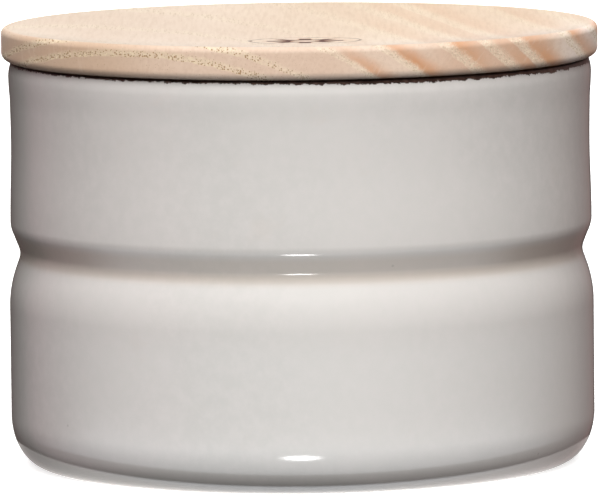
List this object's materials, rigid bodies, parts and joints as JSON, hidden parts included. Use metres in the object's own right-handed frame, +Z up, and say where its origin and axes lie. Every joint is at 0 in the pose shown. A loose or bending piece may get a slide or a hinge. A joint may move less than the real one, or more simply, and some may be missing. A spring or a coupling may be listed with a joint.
{
  "type": "sugar bowl",
  "caption": "Short cylindrical enamelled steel pot with a groove round its middle and a dished ash lid sealed by a silicone ring, for sugar or dry food.",
  "frame": {"origin": "centre of the foot ring, on the table", "axes": "+Z up along the pot's axis; -Y towards the viewer of the picture, +X to the right"},
  "size_m": [0.112, 0.112, 0.0824],
  "materials": {
    "enamel": "gloss",
    "ash": "satin",
    "silicone": "satin"
  },
  "bodies": {
    "pot": {"pot": "enamel"},
    "seal": {"seal_ring": "silicone"},
    "lid": {"lid": "ash"}
  },
  "joints": [
    {"name": "lid_lift", "type": "slide", "parent": "pot", "child": "seal", "axis": [0, 0, 1], "range_m": [0, 0.09]},
    {"name": "lid_turn", "type": "hinge", "parent": "seal", "child": "lid", "pos_m": [0, 0, 0.0763], "axis": [0, 0, 1], "continuous": true}
  ]
}
